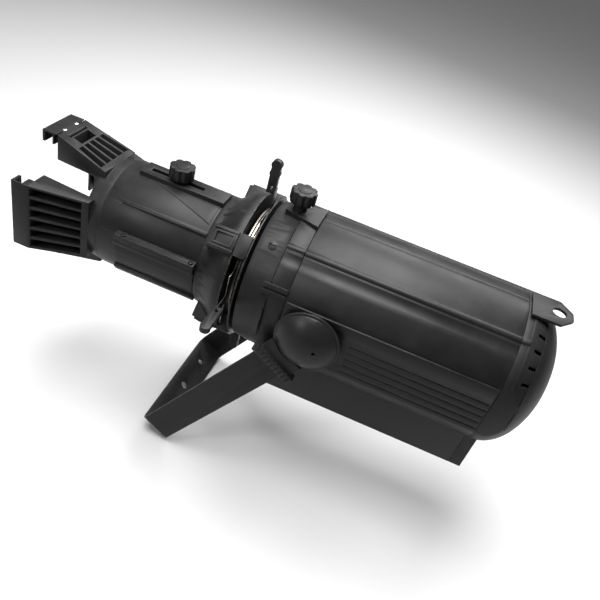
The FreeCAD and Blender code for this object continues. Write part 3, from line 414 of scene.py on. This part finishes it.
def noise(tree, coordinates, scale, detail=2.0, roughness=0.5):
    made = node(tree, "ShaderNodeTexNoise")
    made.inputs["Detail"].default_value = detail
    made.inputs["Roughness"].default_value = roughness
    tree.links.new(coordinates, made.inputs["Vector"])
    if isinstance(scale, (int, float)):
        made.inputs["Scale"].default_value = scale
    else:
        tree.links.new(scale, made.inputs["Scale"])
    return made.outputs["Fac"]


def between(tree, value, low, high, to_low=0.0, to_high=1.0):
    made = node(tree, "ShaderNodeMapRange", clamp=True)
    for label, number in (("From Min", low), ("From Max", high), ("To Min", to_low), ("To Max", to_high)):
        made.inputs[label].default_value = number
    tree.links.new(value, made.inputs["Value"])
    return made.outputs["Result"]


def build_grain_group():
    """Pebbled grain of a powder coat or a moulding: a height and a slow variation in gloss."""
    group, start, end = new_group("Coat Grain", [("Scale", "NodeSocketFloat", 900.0)],
                                  [("Height", "NodeSocketFloat"), ("Variation", "NodeSocketFloat")])
    place = node(group, "ShaderNodeTexCoord").outputs["Object"]
    fine = noise(group, place, start.outputs["Scale"], 3.0, 0.6)
    cells = node(group, "ShaderNodeTexVoronoi", feature="SMOOTH_F1")
    group.links.new(place, cells.inputs["Vector"])
    group.links.new(start.outputs["Scale"], cells.inputs["Scale"])
    pebbles = math_node(group, "SUBTRACT", 1.0, cells.outputs["Distance"])
    height = math_node(group, "ADD", math_node(group, "MULTIPLY", fine, 0.6),
                       math_node(group, "MULTIPLY", pebbles, 0.4))
    slow = noise(group, place, 14.0, 4.0, 0.6)
    group.links.new(height, end.inputs["Height"])
    group.links.new(slow, end.inputs["Variation"])
    return group


def build_edge_wear_and_highlight_group():
    """Mask of edges that are painted lighter, broken up by noise: handling wear, and on the gate plates partly a
    painted edge highlight.
    """
    group, start, end = new_group("Edge Wear and Highlight", [("Amount", "NodeSocketFloat", 0.5)],
                                  [("Mask", "NodeSocketFloat")])
    bevel = node(group, "ShaderNodeBevel", samples=4)
    bevel.inputs["Radius"].default_value = 1.2 * MM
    surface = node(group, "ShaderNodeNewGeometry")
    likeness = node(group, "ShaderNodeVectorMath", operation="DOT_PRODUCT")
    group.links.new(bevel.outputs["Normal"], likeness.inputs[0])
    group.links.new(surface.outputs["Normal"], likeness.inputs[1])
    edge = between(group, likeness.outputs["Value"], 0.995, 0.90)
    place = node(group, "ShaderNodeTexCoord").outputs["Object"]
    broken = between(group, noise(group, place, 160.0, 5.0, 0.7), 0.42, 0.62)
    mask = math_node(group, "MULTIPLY", math_node(group, "MULTIPLY", edge, broken), start.outputs["Amount"],
                     clamp=True)
    group.links.new(mask, end.inputs["Mask"])
    return group


def build_dust_group():
    """Mask of fine dust and wiped smears on surfaces that face up."""
    group, start, end = new_group("Settled Dust", [("Amount", "NodeSocketFloat", 0.2)],
                                  [("Mask", "NodeSocketFloat")])
    coordinates = node(group, "ShaderNodeTexCoord")
    parts = node(group, "ShaderNodeSeparateXYZ")
    group.links.new(coordinates.outputs["Normal"], parts.inputs[0])
    facing = between(group, parts.outputs["Z"], 0.1, 1.0)
    cloud = between(group, noise(group, coordinates.outputs["Object"], 22.0, 6.0, 0.65), 0.38, 0.75)
    specks = between(group, noise(group, coordinates.outputs["Object"], 1100.0, 2.0, 0.5), 0.62, 0.80)
    mixed = math_node(group, "ADD", math_node(group, "MULTIPLY", cloud, 0.6),
                      math_node(group, "MULTIPLY", specks, 0.4))
    mask = math_node(group, "MULTIPLY", math_node(group, "MULTIPLY", facing, mixed), start.outputs["Amount"],
                     clamp=True)
    group.links.new(mask, end.inputs["Mask"])
    return group


GROUPS = {}


def shared_groups():
    if not GROUPS:
        GROUPS["grain"] = build_grain_group()
        GROUPS["wear_and_highlight"] = build_edge_wear_and_highlight_group()
        GROUPS["dust"] = build_dust_group()
    return GROUPS


def place_group(tree, key, **values):
    made = node(tree, "ShaderNodeGroup", node_tree=shared_groups()[key])
    for label, value in values.items():
        made.inputs[label].default_value = value
    return made


def mix_colour(tree, mask, first, second):
    """first where mask is 0, second where it is 1; each is a colour or a socket."""
    made = node(tree, "ShaderNodeMix", data_type="RGBA")
    tree.links.new(mask, made.inputs["Factor"])
    for label, value in (("A", first), ("B", second)):
        socket = [s for s in made.inputs if s.name == label and s.type == "RGBA"][0]
        if isinstance(value, bpy.types.NodeSocket):
            tree.links.new(value, socket)
        else:
            socket.default_value = (*value, 1.0)
    return [s for s in made.outputs if s.type == "RGBA"][0]


MATERIALS = {}


def surface(name, base, roughness, grain=900.0, depth=0.06, wear_and_highlight=0.5, worn=(0.2, 0.2, 0.2), dust=0.1,
            metallic=0.0, swing=0.06, specular=0.17):
    """A coated or moulded surface: pebbled grain, uneven gloss, lighter edges that are wear and, on the gate
    plates, partly a painted edge highlight, and a little dust.
    """
    if name in MATERIALS:
        return MATERIALS[name]
    material = bpy.data.materials.new(name)
    material.use_nodes = True
    tree = material.node_tree
    shader = tree.nodes["Principled BSDF"]
    grains = place_group(tree, "grain", Scale=grain)
    edge_wear_and_highlight_mask = place_group(tree, "wear_and_highlight", Amount=wear_and_highlight).outputs["Mask"]
    dusty = place_group(tree, "dust", Amount=dust).outputs["Mask"]
    lighter = tuple(min(1.0, part * 1.6 + 0.002) for part in base)
    tone = mix_colour(tree, grains.outputs["Variation"], base, lighter)
    # Edges take the lighter edge colour: handling wear, and on the gate plates partly a painted edge highlight.
    tone = mix_colour(tree, edge_wear_and_highlight_mask, tone, worn)
    tone = mix_colour(tree, dusty, tone, (0.20, 0.195, 0.185))
    tree.links.new(tone, shader.inputs["Base Color"])
    rough = between(tree, grains.outputs["Variation"], 0.3, 0.7, roughness - swing, roughness + swing)
    rough = math_node(tree, "ADD", rough, math_node(tree, "MULTIPLY", dusty, 0.35), clamp=True)
    tree.links.new(rough, shader.inputs["Roughness"])
    bump = node(tree, "ShaderNodeBump")
    bump.inputs["Strength"].default_value = depth
    bump.inputs["Distance"].default_value = 0.4 * MM
    tree.links.new(grains.outputs["Height"], bump.inputs["Height"])
    tree.links.new(bump.outputs["Normal"], shader.inputs["Normal"])
    shader.inputs["Metallic"].default_value = metallic
    shader.inputs["Specular IOR Level"].default_value = specular
    MATERIALS[name] = material
    return material


def shell_coat():
    look = finishes()
    return surface("shell powder coat", look.coat_colour, look.shell_roughness, 1500.0, 0.05, 0.35,
                   (0.10, 0.10, 0.10), look.dust)


def casting_coat():
    look = finishes()
    return surface("casting powder coat", look.coat_colour, look.casting_roughness, 1100.0, 0.12, 0.45,
                   (0.12, 0.12, 0.12), look.dust)


def bar_coat():
    look = finishes()
    return surface("yoke powder coat", look.coat_colour, 0.48, 900.0, 0.16, 0.7, (0.22, 0.22, 0.22),
                   look.dust)


def moulding():
    look = finishes()
    return surface("black moulding", look.plastic_colour, look.plastic_roughness, 1700.0, 0.07, 0.25,
                   (0.06, 0.06, 0.06), look.dust)


def cap_moulding():
    look = finishes()
    return surface("cap moulding", look.plastic_colour, 0.46, 1200.0, 0.10, 0.3, (0.07, 0.07, 0.07),
                   look.dust)


def blade_metal():
    look = finishes()
    return surface("blade steel", look.blade_colour, 0.34, 600.0, 0.03, 0.9, look.bare_colour, 0.0,
                   metallic=1.0)


def plate_coat():
    look = finishes()
    # The grey edge colour and the high edge amount paint a slight highlight along the plate edges, on top of their
    # wear.
    return surface("gate plate coat with painted edge highlight", look.coat_colour, 0.36, 900.0, 0.06, 0.9, (0.16, 0.15, 0.14), look.dust)


def worn_steel():
    """Blackened sheet whose edges have worn to warm bare metal."""
    return surface("worn sheet edge", (0.16, 0.14, 0.12), 0.34, 600.0, 0.03, 0.9, (0.50, 0.42, 0.33), 0.0,
                   metallic=1.0)


def black_screw():
    return surface("blackened screw", (0.004, 0.004, 0.004), 0.35, 900.0, 0.05, 0.5, (0.10, 0.10, 0.10), 0.0)


def plated_metal():
    look = finishes()
    return surface("plated steel", look.bare_colour, 0.28, 700.0, 0.03, 0.4, (0.8, 0.8, 0.8), 0.0,
                   metallic=1.0)


def raw_metal():
    return surface("machined aluminium", (0.6, 0.6, 0.61), 0.35, 500.0, 0.05, 0.3, (0.8, 0.8, 0.8), 0.0,
                   metallic=1.0)


def fibre():
    return surface("washer fibre", (0.05, 0.04, 0.03), 0.7, 700.0, 0.2, 0.1, (0.2, 0.15, 0.1), 0.05)


def rubber():
    return surface("button rubber", (0.03, 0.03, 0.03), 0.6, 900.0, 0.1, 0.1, (0.08, 0.08, 0.08), 0.1)


def resin():
    return surface("board resin", (0.01, 0.09, 0.03), 0.4, 800.0, 0.08, 0.0, (0.2, 0.3, 0.2), 0.1)


def socket_plastic():
    return surface("socket moulding", (0.02, 0.035, 0.09), 0.4, 900.0, 0.05, 0.1, (0.1, 0.1, 0.2), 0.05)


def glass(name, tint, roughness):
    """Clear coated glass with faint smears in its gloss."""
    if name in MATERIALS:
        return MATERIALS[name]
    material = bpy.data.materials.new(name)
    material.use_nodes = True
    tree = material.node_tree
    shader = tree.nodes["Principled BSDF"]
    shader.inputs["Transmission Weight"].default_value = 1.0
    shader.inputs["IOR"].default_value = 1.5
    place = node(tree, "ShaderNodeTexCoord").outputs["Object"]
    smear = between(tree, noise(tree, place, 35.0, 5.0, 0.7), 0.45, 0.8, roughness, roughness + 0.12)
    tree.links.new(smear, shader.inputs["Roughness"])
    tone = mix_colour(tree, noise(tree, place, 8.0), tint, tuple(min(1.0, part * 1.05) for part in tint))
    tree.links.new(tone, shader.inputs["Base Color"])
    MATERIALS[name] = material
    return material


def lens_glass():
    return glass("lens glass", (0.86, 0.92, 0.93), 0.02)


def display_glass():
    """Dark glass of the display."""
    if "display glass" in MATERIALS:
        return MATERIALS["display glass"]
    material = surface("display glass", (0.01, 0.016, 0.02), 0.12, 200.0, 0.0, 0.0, (0.02, 0.02, 0.02), 0.15,
                       swing=0.04)
    return material


# ---- pieces ----------------------------------------------------------------------------------------

class SPOTLIGHT_OT_body(bpy.types.Operator):
    """Build the extruded shell with its grooved side panels"""

    bl_idname = "spotlight.body"
    bl_label = "Body Shell"

    def execute(self, context):
        refine("body_shell", shell_coat())
        refine("side_panel_near", shell_coat(), 0.5 * MM)
        refine("side_panel_far", shell_coat(), 0.5 * MM)
        return {"FINISHED"}


class SPOTLIGHT_OT_housing(bpy.types.Operator):
    """Build the front housing with its slotted screws"""

    bl_idname = "spotlight.housing"
    bl_label = "Front Housing"

    def execute(self, context):
        refine("front_housing", casting_coat(), 0.9 * MM)
        ledges = [wrapped_plate("ledge", HOUSING_RADIUS, rise, (side * near,) * 2, (side * far,) * 2,
                                (-34, -0.4), 6)
                  for side in (-1, 1) for near, far, rise in ((61, 64, 6.0), (66, 68.5, 4.6))]
        ledge = join("front_housing_ledges", *ledges)
        hand_over(soften(ledge, 0.6 * MM), casting_coat(), "head")
        screws = [slotted_screw("screw", 6.0, 2.6, -42, 99.6, angle) for angle in (36, -36, 144, -144)]
        screw = join("front_housing_screws", *screws)
        hand_over(soften(screw, 0.5 * MM), black_screw(), "head")
        return {"FINISHED"}


class SPOTLIGHT_OT_rear_cap(bpy.types.Operator):
    """Build the rear cap with its panel, sockets and safety eye"""

    bl_idname = "spotlight.rear_cap"
    bl_label = "Rear Cap"

    def execute(self, context):
        refine("rear_cap", cap_moulding())
        refine("safety_eye", bar_coat())
        refine("control_panel", moulding(), 0.3 * MM)
        for number in range(1, 5):
            refine(f"button_{number}", rubber(), 0.4 * MM)
        keep("display_window", display_glass())
        refine("power_sockets", socket_plastic(), 0.3 * MM)
        refine("signal_sockets", moulding(), 0.3 * MM)
        bands = []
        for start, end, lift in ((290, 294.5, 1.0), (309, 312, 0.9)):
            reach = [CAP_RADIUS * math.sqrt(1 - ((station - CAP_SHOULDER) / CAP_CURVE) ** 2)
                     for station in (start, end)]
            band = lathe("band", [(start, reach[0] - 3), (start, reach[0] + lift), (end, reach[1] + lift),
                                  (end, reach[1] - 3)])
            for low, high in ((-130, -CAP_FLAT), (CAP_FLAT, 130)):
                carve(band, block("flat tool", (start - 5, low, -120), (end + 5, high, 120)))
            carve(band, block("foot tool", (start - 5, -130, -130), (end + 5, 130, -20)))
            bands.append(band)
        hand_over(soften(join("rear_cap_bands", *bands), 0.4 * MM), cap_moulding(), "head")
        return {"FINISHED"}


class SPOTLIGHT_OT_gate(bpy.types.Operator):
    """Build the gate: cone, plates, blocks, dividers and sleeve"""

    bl_idname = "spotlight.gate"
    bl_label = "Gate"

    def execute(self, context):
        refine("gate_cone", casting_coat(), 0.9 * MM)
        refine("gate_front_plate", plate_coat(), 0.25 * MM)
        refine("gate_rear_plate", plate_coat(), 0.25 * MM)
        refine("corner_blocks", casting_coat(), 0.5 * MM)
        keep("gate_dividers", worn_steel())
        keep("rotation_sleeve", casting_coat())
        keep("rotation_ring", plate_coat())
        frames = []
        for angle in (45, 135, -135, -45):
            frame_plate = block("frame", (-116, -9, 99), (-90, 9, 104.6))
            carve(frame_plate, block("frame tool", (-113.5, -6.5, 98), (-92.5, 6.5, 106)))
            bars = [block("bar", (-119, side * 12.0 - 1.0, 96), (-86, side * 12.0 + 1.0, 104.2))
                    for side in (-1, 1)]
            frames += [turn(piece, "x", angle) for piece in (frame_plate, *bars)]
        emboss = join("gate_cone_frames", *frames)
        hand_over(soften(emboss, 0.4 * MM), casting_coat(), "barrel")
        return {"FINISHED"}


class SPOTLIGHT_OT_shutters(bpy.types.Operator):
    """Build the four shutters"""

    bl_idname = "spotlight.shutters"
    bl_label = "Shutters"

    def execute(self, context):
        for word in ("top", "bottom", "near", "far"):
            shutter = refine(f"shutter_{word}", blade_metal(), 0.15 * MM)
            shutter.data.materials.append(moulding())
            for face in shutter.data.polygons:
                reach = (face.center - HEAD) * Vector((0, 1, 1))
                face.material_index = int(reach.length > GRIP_START * MM)
        return {"FINISHED"}


class SPOTLIGHT_OT_barrel(bpy.types.Operator):
    """Build the two barrel halves and their screws"""

    bl_idname = "spotlight.barrel"
    bl_label = "Lens Barrel"

    def execute(self, context):
        refine("barrel_upper", casting_coat(), 0.8 * MM)
        refine("barrel_lower", casting_coat(), 0.8 * MM)
        refine("barrel_screws", black_screw(), 0.3 * MM)
        stations = (-250, -135)
        panels = [wrapped_plate("panel", BARREL_RADIUS, 1.0, (side * 6.3, side * 34.7), (side * 5.0,) * 2,
                                stations)
                  for side in (-1, 1)]
        hand_over(soften(join("barrel_upper_panels", *panels), 0.4 * MM), casting_coat(), "barrel")
        steps = []
        for side in (-1, 1):
            for near, far, rise in ((86, 97, 2.6), (97, 110, 1.3)):
                steps.append(wrapped_plate("step", BARREL_RADIUS, rise, (side * near,) * 2, (side * far,) * 2,
                                           (-251, -131.5)))
        hand_over(soften(join("barrel_lower_steps", *steps), 0.4 * MM), casting_coat(), "barrel")
        return {"FINISHED"}


class SPOTLIGHT_OT_lenses(bpy.types.Operator):
    """Give the lenses and their carriage their finishes"""

    bl_idname = "spotlight.lenses"
    bl_label = "Lenses"

    def execute(self, context):
        for name in ("front_lens", "rear_lens", "condenser_lens", "led_window"):
            keep(name, lens_glass())
        keep("lens_carriage", casting_coat())
        keep("lens_rings", blade_metal())
        return {"FINISHED"}


class SPOTLIGHT_OT_knobs(bpy.types.Operator):
    """Build the clamping knobs for focus and rotation"""

    bl_idname = "spotlight.knobs"
    bl_label = "Knobs"

    def execute(self, context):
        for word in ("focus", "rotation"):
            refine(f"{word}_knob", moulding(), 1.3 * MM, 3)
            refine(f"{word}_stud", plated_metal(), 0.2 * MM)
            low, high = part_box(f"{word}_knob")
            middle = ((low + high) / 2 - HEAD) / MM
            top = (high.z - HEAD.z) / MM
            cap = rod(f"{word}_knob_cap", "z", top - 1, top + 0.8, 9.5, (middle.x, middle.y))
            hand_over(soften(cap, 0.6 * MM), moulding(), f"{word}_knob")
        return {"FINISHED"}


class SPOTLIGHT_OT_holder(bpy.types.Operator):
    """Build the accessory holder and its hinged clip"""

    bl_idname = "spotlight.holder"
    bl_label = "Accessory Holder"

    def execute(self, context):
        refine("accessory_holder", cap_moulding(), 0.5 * MM)
        refine("frame_clip", cap_moulding(), 0.5 * MM)
        low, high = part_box("frame_clip")
        top = (high.z - HEAD.z) / MM
        rear = (high.x - HEAD.x) / MM
        outline = [(top - 1, 0), (top - 1, 3.0), (top + 0.3, 3.0), (top + 1.1, 1.8), (top + 1.3, 0)]
        rivets = [lathe("rivet", outline, "z", (rear - 11, place), 24) for place in (-13, 13)]
        hand_over(soften(join("frame_clip_rivets", *rivets), 0.2 * MM), plated_metal(), "frame_clip")
        return {"FINISHED"}


class SPOTLIGHT_OT_yoke(bpy.types.Operator):
    """Build the yoke, its washers and pivot bolts"""

    bl_idname = "spotlight.yoke"
    bl_label = "Yoke"

    def execute(self, context):
        refine("yoke_bar", bar_coat(), 0.8 * MM)
        keep("tilt_washers", fibre())
        refine("pivot_bolts", plated_metal(), 0.4 * MM)
        for side in ("near", "far"):
            keep(f"tilt_boss_{side}", raw_metal())
        return {"FINISHED"}


class SPOTLIGHT_OT_lock_handles(bpy.types.Operator):
    """Build the domed tilt handles"""

    bl_idname = "spotlight.lock_handles"
    bl_label = "Tilt Handles"

    def execute(self, context):
        for side in ("near", "far"):
            refine(f"lock_handle_{side}", moulding(), 0.6 * MM)
        return {"FINISHED"}


class SPOTLIGHT_OT_inner_works(bpy.types.Operator):
    """Give the enclosed parts their finishes"""

    bl_idname = "spotlight.inner_works"
    bl_label = "Inner Works"

    def execute(self, context):
        for name in ("heat_sink", "reflector", "lens_cell", "power_supply"):
            keep(name, raw_metal())
        for name in ("control_board", "driver_board", "led_board"):
            keep(name, resin())
        for name in ("fan_frame", "fan_rotor"):
            keep(name, moulding())
        keep("tie_rods", plated_metal())
        return {"FINISHED"}


# ---- stage -----------------------------------------------------------------------------------------

def floor_material(tint):
    material = bpy.data.materials.new("studio floor")
    material.use_nodes = True
    tree = material.node_tree
    shader = tree.nodes["Principled BSDF"]
    place = node(tree, "ShaderNodeTexCoord").outputs["Object"]
    tone = mix_colour(tree, noise(tree, place, 3.0, 3.0), tint, tuple(part * 0.985 for part in tint))
    tree.links.new(tone, shader.inputs["Base Color"])
    shader.inputs["Roughness"].default_value = 0.9
    return material


def area_light(name, place, target, power, width, height):
    fresh()
    bpy.ops.object.light_add(type="AREA", location=place)
    lamp = bpy.context.object
    lamp.name = name
    lamp.data.shape = "RECTANGLE"
    lamp.data.size = width
    lamp.data.size_y = height
    lamp.data.energy = power
    lamp.rotation_euler = (Vector(target) - Vector(place)).to_track_quat("-Z", "Y").to_euler()
    return lamp


class SPOTLIGHT_OT_stage(bpy.types.Operator):
    """Set up the floor, the soft lights and the camera"""

    bl_idname = "spotlight.stage"
    bl_label = "Stage"

    def execute(self, context):
        look = context.scene.spotlight_stage
        fresh()
        bpy.ops.mesh.primitive_plane_add(size=14, location=(0, 0, CAD_BOX[0][2] - 0.001))
        floor = settle("studio_floor")
        floor.data.materials.append(floor_material(tuple(look.floor_colour)))

        world = bpy.data.worlds.new("studio")
        context.scene.world = world
        world.use_nodes = True
        world.node_tree.nodes["Background"].inputs["Color"].default_value = (1.0, 1.0, 1.0, 1.0)
        world.node_tree.nodes["Background"].inputs["Strength"].default_value = 0.20
        middle = HEAD
        power = look.light_power
        area_light("overhead softbox", middle + Vector((-0.15, 0.05, 1.5)), middle, power, 1.6, 1.0)
        area_light("side softbox", middle + Vector((-1.3, -1.6, 1.3)), middle, power * 0.22, 0.4, 0.4)
        area_light("back strip", middle + Vector((0.4, 1.5, 1.1)), middle, power * 0.35, 2.0, 0.35)

        fresh()
        place = HEAD + Vector((99.1, -705.9, 524.6)) * MM
        bpy.ops.object.camera_add(location=place)
        camera = context.object
        camera.name = "studio_camera"
        camera.data.lens = look.lens
        camera.data.sensor_width = 36.0
        camera.data.clip_start = 0.01
        turning = (Matrix.Rotation(look.heading, 3, "Z") @ Matrix.Rotation(math.pi / 2 - look.pitch, 3, "X")
                   @ Matrix.Rotation(look.roll, 3, "Z"))
        camera.rotation_euler = turning.to_euler()
        context.scene.camera = camera
        context.scene.view_settings.view_transform = "Standard"
        return {"FINISHED"}


# ---- add-on ----------------------------------------------------------------------------------------

STEPS = (
    SPOTLIGHT_OT_stage,
    SPOTLIGHT_OT_body,
    SPOTLIGHT_OT_housing,
    SPOTLIGHT_OT_rear_cap,
    SPOTLIGHT_OT_gate,
    SPOTLIGHT_OT_shutters,
    SPOTLIGHT_OT_barrel,
    SPOTLIGHT_OT_lenses,
    SPOTLIGHT_OT_knobs,
    SPOTLIGHT_OT_holder,
    SPOTLIGHT_OT_yoke,
    SPOTLIGHT_OT_lock_handles,
    SPOTLIGHT_OT_inner_works,
)


class SPOTLIGHT_PT_panel(bpy.types.Panel):
    """Lists the building steps and the settings."""

    bl_idname = "SPOTLIGHT_PT_panel"
    bl_label = "Ellipsoidal Spotlight"
    bl_space_type = "VIEW_3D"
    bl_region_type = "UI"
    bl_category = "Spotlight"

    def draw(self, context):
        column = self.layout.column()
        for step in STEPS:
            column.operator(step.bl_idname)
        for group in (context.scene.spotlight_finishes, context.scene.spotlight_stage):
            for name in group.__annotations__:
                column.prop(group, name)


CLASSES = (SPOTLIGHT_PG_finishes, SPOTLIGHT_PG_stage, *STEPS, SPOTLIGHT_PT_panel)


def register():
    for kind in CLASSES:
        bpy.utils.register_class(kind)
    bpy.types.Scene.spotlight_finishes = PointerProperty(type=SPOTLIGHT_PG_finishes)
    bpy.types.Scene.spotlight_stage = PointerProperty(type=SPOTLIGHT_PG_stage)


def unregister():
    del bpy.types.Scene.spotlight_stage
    del bpy.types.Scene.spotlight_finishes
    for kind in reversed(CLASSES):
        bpy.utils.unregister_class(kind)


def main():
    register()
    for step in STEPS:
        group, name = step.bl_idname.split(".")
        getattr(getattr(bpy.ops, group), name)()


if __name__ == "__main__":
    main()
